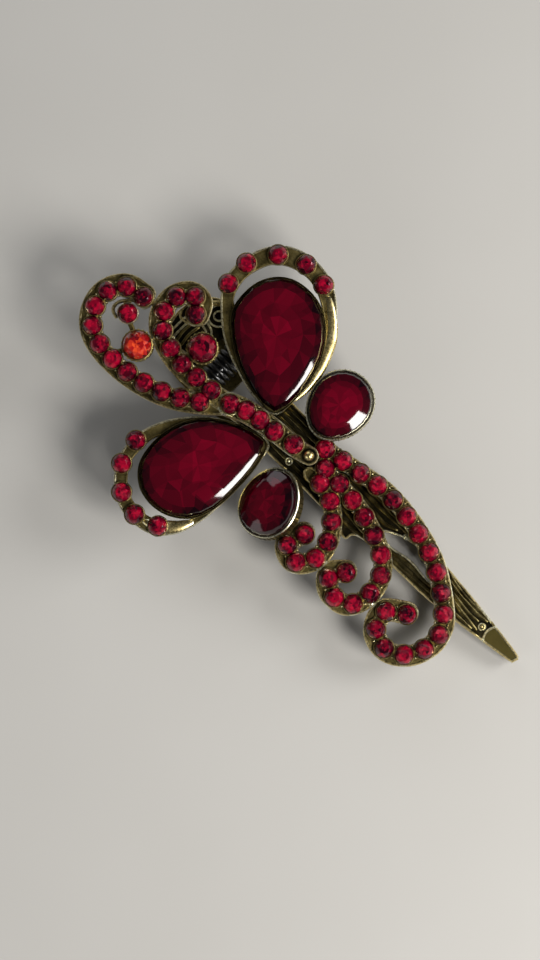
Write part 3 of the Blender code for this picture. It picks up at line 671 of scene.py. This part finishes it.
def cut_gem(rim, sides=12):
    """A steep wall, then three rows of facets up to a small table that is split into wedges."""
    size = np.linalg.norm(rim - rim.mean(axis=0), axis=1).mean()
    shares = (0.97, 1.0, 1 - GEM_SHOULDER / size, 1 - GEM_EDGE / size, 0.56, 0.33)
    counts = (2 * sides, 2 * sides, 2 * sides, 2 * sides, sides, sides)
    phases = (0, 0, 0, 0.5, 0.25, 0.75)
    heights = [GEM_BASE + share * GEM_RISE for share in (0.0, 0.38, 0.72, 0.86, 0.95, 1.0)]
    rings = [resampled(scaled(rim, share), count, phase)
             for share, count, phase in zip(shares, counts, phases)]
    table = rings[-1]
    points = np.vstack([*(lifted(r, h) for r, h in zip(rings, heights)),
                        lifted(table.mean(axis=0)[None], heights[-1])])
    starts = np.cumsum([0] + [len(r) for r in rings])
    faces, shades = [], []

    def face(corners, tone):
        faces.append(tuple(int(c) for c in corners))
        shades.append(min(1.0, max(0.0, tone)))

    # Facet tones rise from dark at the wall (0.02) to light at the table (0.5): painted shade towards the
    # rim and painted light in the middle.
    n = 2 * sides
    for i in range(n):
        j = (i + 1) % n
        face((starts[0] + i, starts[0] + j, starts[1] + j, starts[1] + i), 0.02)
        face((starts[1] + i, starts[1] + j, starts[2] + j, starts[2] + i), 0.06)
        face((starts[2] + i, starts[2] + j, starts[3] + i), 0.16 + rng.uniform(-0.05, 0.05))
        face((starts[3] + i, starts[2] + j, starts[3] + j), 0.20 + rng.uniform(-0.06, 0.06))
    for k in range(sides):
        after = (k + 1) % sides
        a, b, c = 2 * k, 2 * k + 1, (2 * k + 2) % n
        face((starts[3] + a, starts[3] + b, starts[4] + k), 0.32 + rng.uniform(-0.1, 0.1))
        face((starts[3] + b, starts[3] + c, starts[4] + after, starts[4] + k),
             0.35 + rng.uniform(-0.12, 0.12))
        face((starts[4] + k, starts[4] + after, starts[5] + k), 0.45 + rng.uniform(-0.11, 0.11))
        face((starts[5] + k, starts[4] + after, starts[5] + after), 0.45 + rng.uniform(-0.11, 0.11))
        face((starts[5] + k, starts[5] + after, starts[6]), 0.50 + rng.uniform(-0.12, 0.12))
    face(range(n), 0.0)
    return (points, faces), shades


def cup(build, outline, lip="worn"):
    """The wall that holds a large stone, with a floor and a thin lip just outside the stone."""
    wall = grown(outline, CUP_WALL - 0.05)
    build.add(plate([wall, grown(outline, -0.3)], 0, CUP_DEPTH - 0.7), "brass", rounded=False)
    build.add(plate([grown(outline, 0.1)], 0, 1.0), "groove", rounded=False)
    build.add(tube(lifted(grown(outline, 0.42), CUP_DEPTH - 0.75), 0.18, 1.2, closed=True), lip)


def fore_wing(side, shape):
    """A forewing: its pierced loop with bright rims, its cup, its large stone and its small ones."""
    gem, loop, gap = (smooth_loop(shape[key]) - shape["centre"] for key in ("gem", "loop", "gap"))
    place = wing_place(shape)
    top = LOOP_HIGH - RIM_DROP
    build = Build()
    build.add(plate([loop, gap], LOOP_LOW, top), "brass", rounded=False)
    build.add(tube(lifted(grown(loop, -0.18), top), 0.2, 1.0, closed=True), "rim")
    build.add(tube(lifted(grown(gap, 0.16), top), 0.17, 1.0, closed=True), "brass")
    # The swell in bright polished brass: a real raised lip, with a painted highlight in its brighter
    # colour.
    swell = smooth_path(shape["swell"]) - shape["centre"]
    wave = np.sin(np.linspace(0.25, math.pi - 0.25, len(swell)))
    build.add(tube(lifted(swell, top - 0.05), 0.3 + wave, 0.5, sides=16), "rim")
    cup(build, gem)
    for centre in np.array(shape["stones"]) - shape["centre"]:
        build.add(collet(centre, STONE, LOOP_HIGH - 0.3, 0.75), "brass")
    build.piece(f"forewing_setting_{side}", UPPER, (f"forewing_frame_{side}",), place)
    big_gem(f"forewing_gem_{side}", f"forewing_stone_{side}", gem, place)
    for i in range(len(shape["stones"])):
        single_stone(f"wing_stone_{side}_{i + 1}", place)


def hind_wing(side, shape):
    """A hindwing: a cup with dark flutes round its wall, and its large stone."""
    outline = egg(shape["long_half"], shape["short_half"], shape["direction"])
    place = wing_place(shape)
    build = Build()
    cup(build, outline, "rim")
    for x, y in resampled(grown(outline, CUP_WALL - 0.1), 44):
        build.add(revolved((x, y), [(0.17, 0.1), (0.17, CUP_DEPTH - 0.8)], 0, 6), "groove")
    build.piece(f"hindwing_setting_{side}", UPPER, (f"hindwing_cup_{side}",), place)
    big_gem(f"hindwing_gem_{side}", f"hindwing_stone_{side}", outline, place)


# ---------------------------------------------------------------- body and antennae

BODY_PATH = [(23.3, -0.3), (20.3, -1.0), (15.8, -1.4), (12.6, -1.9), (9.5, -2.6), (6.7, -3.8)]
ANTENNA_LEFT = [(6.7, -3.8), (2.4, -4.4), (-4.2, -4.7), (-7.7, -4.3), (-11.4, -2.9), (-13.5, -0.6),
                (-14.1, 2.6), (-12.6, 5.2), (-10.4, 5.4), (-9.2, 3.4)]
ANTENNA_RIGHT = [(6.7, -3.8), (2.5, -7.3), (-3.5, -10.8), (-10.6, -12.7), (-17.3, -12.7), (-21.2, -11.1),
                 (-23.3, -8.2), (-23.6, -4.9), (-21.7, -1.9), (-18.2, -1.0)]
CURL_STONE = (-18.1, -5.1)
CURL_HOOK = [(-19.2, -7.1), (-20.6, -6.5), (-20.9, -5.1), (-19.9, -3.4), (-18.5, -2.4), (-17.0, -2.4),
             (-16.4, -1.4)]
CURL_LIP = [(-11.7, 2.2), (-11.0, 1.2), (-9.6, 1.2), (-8.0, 1.8)]
MEDIUM_STONES = {"outer": (-12.8, -8.0), "inner": (-4.0, -0.1)}
STEMS = [((-17.9, -5.6), (-14.0, -7.2)), ((-13.6, -9.6), (-14.9, -11.9)), ((-12.0, -6.6), (-11.6, -3.8)),
         ((-1.2, -9.2), (-0.4, -5.4)), ((-17.0, -0.9), (-14.2, 0.2)), ((-18.1, -5.1), (-19.7, -4.2)),
         ((-19.7, -4.2), (-19.4, -1.6))]
BODY_LEGS = [(9.4, -2.5), (19.4, -1.0)]
RIVET_PLACE = (23.3, -0.3)
BODY_STONES = [(19.9, -0.8), (15.7, -1.6), (12.5, -2.0), (9.5, -2.5), (6.6, -3.7)]
ANTENNA_STONES = {"left": (9, 4.3), "right": (12, 5.5)}


def shifted(path, distance):
    """A path moved sideways, from nothing at its start to the whole distance a fifth of the way on."""
    heading = np.gradient(path, axis=0)
    heading /= np.linalg.norm(heading, axis=1)[:, None]
    share = np.clip(path_lengths(path) / path_lengths(path)[-1] * 5, 0, 1)[:, None]
    return path + np.column_stack([-heading[:, 1], heading[:, 0]]) * distance * share


def stone_band(build, path, widths, base, top, centres, shift=0.0):
    """A flat band with raised bright rims, a collet for every stone and beads between them."""
    line = shifted(path, shift)
    rim = lifted(ribbon(line, *widths, grow=-0.2), top - RIM_DROP)
    build.add(plate([ribbon(line, *widths)], base, top - RIM_DROP), "brass", rounded=False)
    build.add(tube(rim, 0.24, 1.05, closed=True), "rim")
    for centre in centres:
        build.add(collet(centre, STONE + COLLET_FIT, top - 0.3, COLLET_RISE), "brass")
    for a, b in zip(centres, centres[1:]):
        gap = b - a
        length = np.linalg.norm(gap)
        if length > BEAD_SPAN:
            continue
        across = np.array([-gap[1], gap[0]]) / length
        for side in (-1, 1):
            build.add(bead((a + b) / 2 + across * side * BEAD_OFFSET, 0.3, top - 0.28, 0.62), "rim")


def body_setting():
    """The body, both antennae and the settings between them, with the stems that join them."""
    build = Build()
    body_path = smooth_path(BODY_PATH)
    stone_band(build, body_path, (3.4, 4.6), BODY_BASE, BODY_TOP, np.array(BODY_STONES))
    for side, points in (("left", ANTENNA_LEFT), ("right", ANTENNA_RIGHT)):
        path = smooth_path(points)
        centres = even_points(path, *ANTENNA_STONES[side])
        stone_band(build, path, (3.8, 3.9), BODY_BASE, BODY_TOP - 0.04, centres, 0.5)
    for centre in MEDIUM_STONES.values():
        build.add(plate([circle(centre, 2.9, 32)], BODY_BASE, BODY_TOP - 0.1), "brass", rounded=False)
        build.add(collet(centre, 2.62, BODY_TOP - 0.3, 0.95, 0.22, 32), "brass")
        for x, y in circle(centre, 2.85, 22):
            build.add(bead((x, y), 0.22, BODY_TOP - 0.12, 0.42, 8), "brass")
    build.add(plate([circle(CURL_STONE, 1.85)], BODY_BASE, BODY_TOP - 0.2), "brass", rounded=False)
    build.add(collet(CURL_STONE, STONE + COLLET_FIT, BODY_TOP - 0.3, COLLET_RISE), "rim")
    for start, end in STEMS:
        bar = lifted(np.linspace(start, end, 6), BODY_BASE + 0.75)
        build.add(tube(bar, 0.5, 0.9), "brass")
    build.add(tube(lifted(smooth_path(CURL_HOOK, 4), BODY_TOP - 0.6), 0.34, 1.9), "rim")
    build.add(tube(lifted(smooth_path(CURL_LIP, 4), BODY_TOP - 0.5), 0.26, 1.6), "rim")
    for centre in BODY_LEGS:
        profile = [(1.15, WING_BASE), (0.85, WING_BASE + 0.8), (0.85, BODY_BASE + 0.1)]
        build.add(revolved(centre, profile), "groove")
    build.piece("body_setting", UPPER, ("body_and_antennae",))


def body_stones():
    nodes = [f"body_stone_{i + 1}" for i in range(len(BODY_STONES))]
    for side, (count, _) in ANTENNA_STONES.items():
        nodes += [f"antenna_stone_{side}_{i + 1}" for i in range(count)]
    nodes.append("antenna_stone_curl_1")
    for node in nodes:
        single_stone(node)
    for side, finish, slot in (("outer", "orange", "orange_glass"), ("inner", "ruby", "ruby_glass")):
        middle, low = node_middle(f"medium_stone_{side}")
        build = Build()
        shape, tones = cut_crown(
            circle(middle[:2], MEDIUM_STONE, 2 * MEDIUM_SIDES),
            arc(middle[:2], 2.1, 18, 378, MEDIUM_SIDES + 1)[:-1], circle(middle[:2], 1.45, MEDIUM_SIDES),
            low, low + 0.75, low + 1.65, low + 2.25, STONE_TONES)
        build.add(shape, finish, rounded=False, tones=tones)
        build.piece(f"medium_brilliant_{side}", UPPER, (f"medium_stone_{side}",))


def rivet():
    """A dark shank and collar with a bright dome on it."""
    head = BODY_TOP + 0.1
    shank = [(0.8, UPPER_SHEET + 0.1), (0.8, head), (1.3, head), (1.3, head + 0.2), (0.9, head + 0.3)]
    angles = np.radians((0, 20, 40, 60, 75, 86))
    dome = [(0.95 * math.cos(t), head + 0.25 + 0.8 * math.sin(t)) for t in angles]
    build = Build()
    build.add(revolved(RIVET_PLACE, shank), "groove")
    build.add(revolved(RIVET_PLACE, dome), "rim")
    build.piece("rivet_dome", UPPER, ("body_rivet",))


# ---------------------------------------------------------------- tail scrolls

SCROLLS = {
    "outer": {"stones": 18, "widths": (3.2, 4.2), "points": [
        (24.4, 2.7), (30.8, 3.8), (37.7, 4.8), (45.4, 4.1), (53.2, 1.7), (60.1, -3.0), (62.4, -6.1),
        (62.7, -9.7), (61.0, -13.3), (57.6, -15.3), (54.0, -14.2), (52.8, -10.6), (55.9, -8.1)]},
    "middle": {"stones": 12, "widths": (2.6, 4.2), "points": [
        (26.9, 0.2), (31.1, 0.0), (38.7, -1.2), (45.4, -4.0), (48.0, -7.3), (48.5, -11.4),
        (46.8, -14.6), (43.2, -15.0), (41.0, -12.8), (42.8, -10.5)]},
    "inner": {"stones": 8, "skip": 2.5, "widths": (2.6, 4.2), "points": [
        (25.6, -2.4), (28.5, -2.4), (31.7, -3.4), (34.6, -5.9), (36.6, -9.0), (37.0, -13.0),
        (34.7, -15.7), (31.7, -14.4), (32.6, -10.9)]},
}
CURL_JOINT = (49.9, -11.2)  # the bead where the outer scroll's curl meets the middle scroll


def scroll(name, shape):
    """One band of the tail, and its row of stones as a second piece."""
    path = smooth_path(shape["points"])
    centres = even_points(path, shape["stones"], shape.get("skip", 0))
    build = Build()
    stone_band(build, path, shape["widths"], WING_BASE, SCROLL_TOP, centres, 0.25)
    if name == "outer":
        build.add(bead(CURL_JOINT, 0.85, SCROLL_TOP - 0.5, 0.75, 12), "rim")
    build.piece(f"tail_band_{name}", UPPER, (f"tail_scroll_{name}",))
    stones = Build()
    for centre in centres:
        lift = rng.uniform(-0.15, 0.15)
        cut, tones = small_stone(centre, SCROLL_TOP + 0.1, rng.uniform(0, 45), lift)
        stones.add(cut, "ruby", rounded=False, tones=tones)
    stones.piece(f"tail_brilliants_{name}", UPPER, (f"tail_stones_{name}",))


# ---------------------------------------------------------------- jaws, pin and spring

JAW_LEFT = [
    (-12.6, 1.6), (-12.0, 5.2), (-9.6, 8.2), (-6.4, 9.2), (-3.9, 7.6), (-2.8, 6.3), (2.9, 6.3),
    (7.0, 5.6), (12.0, 4.7), (20.0, 4.5), (32.0, 4.7), (45.0, 4.1), (56.0, 3.1), (66.0, 2.1),
    (74.5, 1.0), (76.0, 0.4)]
JAW_RIGHT = [
    (75.6, -0.9), (74.0, -1.2), (66.0, -2.4), (57.0, -3.5), (48.0, -3.8), (41.0, -4.1),
    (38.9, -4.9), (38.6, -6.1), (37.6, -6.4), (35.0, -5.4), (28.0, -5.2), (18.0, -5.2),
    (12.0, -5.0), (7.0, -5.7), (2.9, -6.3), (-2.8, -6.3), (-9.5, -5.2), (-12.0, -2.4)]
JAW_RIDGES = [
    [(14, 3.4), (24, 3.5), (34, 3.5), (41, 3.1), (46, 2.9), (52, 2.4), (56.5, 1.7)],
    [(14, 2.3), (24, 2.4), (33, 2.4), (38, 2.2), (43, 2.4), (48, 2.4)],
    [(14, 1.1), (26, 1.2), (33, 1.4), (38, 1.0), (41.3, 0.7), (44, 1.5)],
    [(14, 0.0), (28, 0.0), (36, 0.0), (41.2, -0.4)],
    [(14, -1.2), (28, -1.2), (35, -1.6), (41, -1.5), (45, -2.0), (50, -1.5), (54.5, -1.45), (58, -0.9)],
    [(14, -2.4), (28, -2.4), (34, -2.6), (39.5, -3.0), (44, -2.8), (51, -2.4), (57, -2.2), (61, -1.9),
     (66, -1.7)],
    [(14, -3.6), (28, -3.6), (35.5, -4.1), (39, -4.0), (43, -3.5), (50, -3.1), (57, -2.9)],
    [(56.6, 2.6), (58.6, 2.0), (61.4, 1.6), (64.6, 1.7), (67.6, 1.7)],
    [(57.2, 1.8), (59.6, 1.2), (62.1, 1.0), (64.7, 0.9), (67.2, 1.2)],
    [(57.6, 0.6), (59.6, 0.4), (61.6, 0.1), (63.8, -0.1), (66.0, 0.1)],
    [(58.4, -0.2), (60.8, -0.5), (62.6, -0.8), (64.6, -1.0), (66.8, -1.2)],
]
RING_DOTS = [(67.2, -0.1, 0.62), (21.2, -3.5, 0.6), (46.0, 1.7, 0.42)]
CROSS_RIDGE = [(69.0, 1.6), (68.6, 0.9), (68.4, -0.1), (68.6, -1.0), (69.0, -1.7)]
TIP_PANEL = [(69.1, 1.5), (68.75, 0.6), (68.7, -0.5), (69.1, -1.7), (73.9, -0.9), (75.2, -0.6), (75.4, 0.3),
             (74.4, 0.75)]


def slot_outline(grow):
    return smooth_loop([
        (42.2 - grow, -0.6), (46.0, 1.3 + grow), (50.5, 1.8 + grow), (54.5, 1.0 + grow),
        (57.2 + grow, -0.9), (54.3, -1.0 - grow), (49.6, -0.6 - grow), (45.0, -1.4 - grow)])


def window_outline(rear):
    side = [(rear, 3.7), (rear + 0.6, 4.3), (4.6, 4.1), (7.4, 3.1), (9.7, 1.8), (10.6, 0.0)]
    return np.vstack([side, [(x, -y) for x, y in side[-2::-1]]])


def ears(build):
    """The two lugs of the upper jaw, pierced for the pin."""
    foot = UPPER_SHEET + 0.3
    lug = np.vstack([arc((0, 0), EAR_RADIUS, 180, 360, 19), [(EAR_FOOT, foot), (-EAR_FOOT, foot)]])
    for low in (UPPER_EAR, -UPPER_EAR - EAR_SHEET):
        lug_plate = plate([lug, circle((0, 0), PIN_HOLE)], low, low + EAR_SHEET)
        build.add(upright(lug_plate), "brass", rounded=False)


def upper_jaw():
    """The stamped jaw with its windows, raised edges, relief, tip panel, finger pad and ears."""
    outline = np.vstack([smooth_path(JAW_LEFT, 4), smooth_path(JAW_RIGHT, 4)])
    top = JAW_TOP - 0.15
    build = Build()
    build.add(plate([outline, window_outline(-3.4), slot_outline(0)], UPPER_SHEET, top), "groove",
              rounded=False)
    build.add(plate([TIP_PANEL], top - 0.2, top + 0.05), "panel", rounded=False)
    build.add(tube(lifted(grown(outline, -0.2), top), 0.24, 1.1, closed=True), "rim")
    build.add(tube(lifted(slot_outline(0.22), top), 0.2, 1.0, closed=True), "rim")
    for ridge in JAW_RIDGES:
        path = smooth_path(ridge, 5)
        share = np.linspace(0, 1, len(path))
        radii = 0.12 + 0.30 * np.sin(math.pi * np.clip(share, 0.03, 0.97)) ** 0.5
        build.add(tube(lifted(path, top), radii, 0.75), "worn")
    for x, y, radius in RING_DOTS:
        build.add(tube(lifted(circle((x, y), radius), top + 0.03), 0.16, 1.2, closed=True), "rim")
        build.add(bead((x, y), 0.5 * radius, top, 0.3), "rim")
    build.add(tube(lifted(smooth_path(CROSS_RIDGE, 4), top), 0.22, 1.0), "rim")
    lever_relief(build, top)
    ears(build)
    build.piece("upper_jaw_stamped", UPPER, ("upper_jaw",))


def lever_relief(build, top):
    """The raised ovals on the finger pad behind the hinge."""
    lobe = (-6.6, 6.3)
    for radius in (2.0, 0.9):
        build.add(tube(lifted(circle(lobe, radius), top), 0.2, 0.9, closed=True), "rim")
    build.add(tube(lifted(np.linspace((-9.8, 6.4), (-7.9, 8.3), 6), top + 0.3), 0.55, 1.0), "rim")
    pad = [(-10.9, -1.0), (-10.6, 2.8), (-8.8, 4.0), (-5.4, 3.2), (-4.6, 0.0), (-5.4, -3.4),
           (-8.8, -3.9), (-10.6, -2.8)]
    for inset in (0.0, 1.0):
        build.add(tube(lifted(grown(smooth_loop(pad), -inset), top), 0.22, 0.9, closed=True), "rim")
    for x in (-9.0, -7.8, -6.6):
        bar = lifted(smooth_path([(x, -2.2), (x - 0.3, 0.0), (x, 2.2)], 4), top)
        build.add(tube(bar, 0.26, 0.8), "brass")


def lower_jaw():
    """The CAD solid stays; it only takes the brass."""
    for slot in frame["nodes"]["lower_jaw"].material_slots:
        slot.material = FINISHES["brass"]


def hinge_pin():
    """The pin with a peened head at each end."""
    half = LOWER_EAR + EAR_SHEET + PIN_PLAY
    rise = [(0.4, half + 0.68), (0.9, half + 0.62), (1.3, half + 0.4), (1.5, half + 0.12), (1.5, half)]
    profile = [(0.0, half + 0.7), *rise, (PIN_RADIUS, half), (PIN_RADIUS, -half)]
    profile += [(r, -h) for r, h in reversed(rise)] + [(0.0, -half - 0.7)]
    build = Build()
    build.add(upright(revolved((0, 0), profile)), "steel")
    build.piece("pin_with_heads", LOWER, ("hinge_pin",),
                Matrix.Translation((0, 0, PIN_HEIGHT * MM)))


def coil_points():
    """The coil's middle line about the pin, from its top at one end to its underside at the other."""
    count = round(COIL_TURNS * COIL_STEPS)
    length = COIL_TURNS * COIL_PITCH
    helix = []
    for i in range(count + 1):
        angle = math.pi / 2 - 2 * math.pi * i / COIL_STEPS
        side = -length / 2 + length * i / count
        helix.append((COIL_RADIUS * math.cos(angle), side, COIL_RADIUS * math.sin(angle)))
    return helix


def spring():
    """The coil with its lower leg, and the upper leg apart, because it turns with the upper lever."""
    helix = coil_points()
    pin_place = Matrix.Translation((0, 0, PIN_HEIGHT * MM))
    foot = WIRE + 0.3 + LOWER_SHEET - PIN_HEIGHT
    end = helix[-1][1] + 0.2
    knee = (-2.2, end, -2.5)
    lower_leg = smooth_path([helix[-1], (-1.0, end, -2.28), knee, (-SPRING_LEG, end, foot)], 5)[1:]
    build = Build()
    build.add(coil([*helix, *lower_leg], WIRE), "steel")
    build.piece("spring_coil", LOWER, ("torsion_spring",), pin_place)
    start = helix[0][1]
    upper_leg = smooth_path([(-SPRING_LEG, start - 0.4, 3.0), (-3.0, start - 0.25, 2.55),
                             (-0.8, start - 0.05, 2.22)], 4)
    build = Build()
    build.add(coil([*upper_leg, *helix[:LEG_OVERLAP]], WIRE), "steel")
    build.piece("spring_upper_leg", UPPER, ("torsion_spring",), pin_place)


# ---------------------------------------------------------------- stage


def stage():
    """A plain pale floor."""
    mesh = bpy.data.meshes.new("floor")
    half = 2.0
    mesh.from_pydata([(-half, -half, 0), (half, -half, 0), (half, half, 0), (-half, half, 0)], [],
                     [(0, 1, 2, 3)])
    mesh.materials.append(floor_material())
    floor = bpy.data.objects.new("floor", mesh)
    bpy.context.scene.collection.objects.link(floor)


def area_light(name, place, target, size, power, colour=(1, 1, 1)):
    light = bpy.data.lights.new(name, "AREA")
    light.shape = "RECTANGLE"
    light.size, light.size_y = size
    light.energy = power
    light.color = colour
    obj = bpy.data.objects.new(name, light)
    bpy.context.scene.collection.objects.link(obj)
    obj.location = place
    obj.rotation_euler = (Vector(target) - Vector(place)).to_track_quat("-Z", "Y").to_euler()


def lights():
    """Soft boxes round the sides; little comes from straight above, so flat metal stays dark."""
    middle = (0.022, -0.008, 0)
    area_light("window", (0.44, 0.06, 0.40), middle, (0.22, 0.22), 3.6, (1.0, 0.98, 0.95))
    area_light("left_box", (-0.45, 0.25, 0.32), middle, (0.5, 0.35), 0.8, (0.93, 0.96, 1.0))
    area_light("near_box", (-0.05, -0.55, 0.32), middle, (0.5, 0.3), 0.6)
    area_light("far_box", (0.32, 0.42, 0.30), middle, (0.28, 0.22), 2.4)
    world = bpy.data.worlds.new("soft_room")
    world.use_nodes = True
    world.node_tree.nodes["Background"].inputs["Color"].default_value = (0.82, 0.85, 0.90, 1)
    world.node_tree.nodes["Background"].inputs["Strength"].default_value = 0.06
    bpy.context.scene.world = world


def camera():
    """Looks almost straight at the jaw's face, with the hinge at the upper left."""
    data = bpy.data.cameras.new("camera")
    data.lens = 82.5
    data.sensor_width = 36.0
    data.clip_start, data.clip_end = 0.01, 10
    obj = bpy.data.objects.new("camera", data)
    bpy.context.scene.collection.objects.link(obj)
    right = Vector((0.6988, 0.7054, -0.1186)).normalized()
    back = Vector((0.1669, 0.0005, 0.9860)).normalized()
    up = back.cross(right).normalized()
    right = up.cross(back)
    turn = Matrix((right, up, back)).transposed().to_4x4()
    obj.matrix_world = Matrix.Translation((0.08853, -0.00814, 0.40433)) @ turn
    bpy.context.scene.camera = obj


lower_jaw()
upper_jaw()
hinge_pin()
spring()
for wing_side, wing in FORE_WINGS.items():
    fore_wing(wing_side, wing)
for wing_side, wing in HIND_WINGS.items():
    hind_wing(wing_side, wing)
body_setting()
body_stones()
rivet()
for scroll_name, scroll_shape in SCROLLS.items():
    scroll(scroll_name, scroll_shape)
stage()
lights()
camera()
bpy.context.scene.view_settings.view_transform = "Standard"
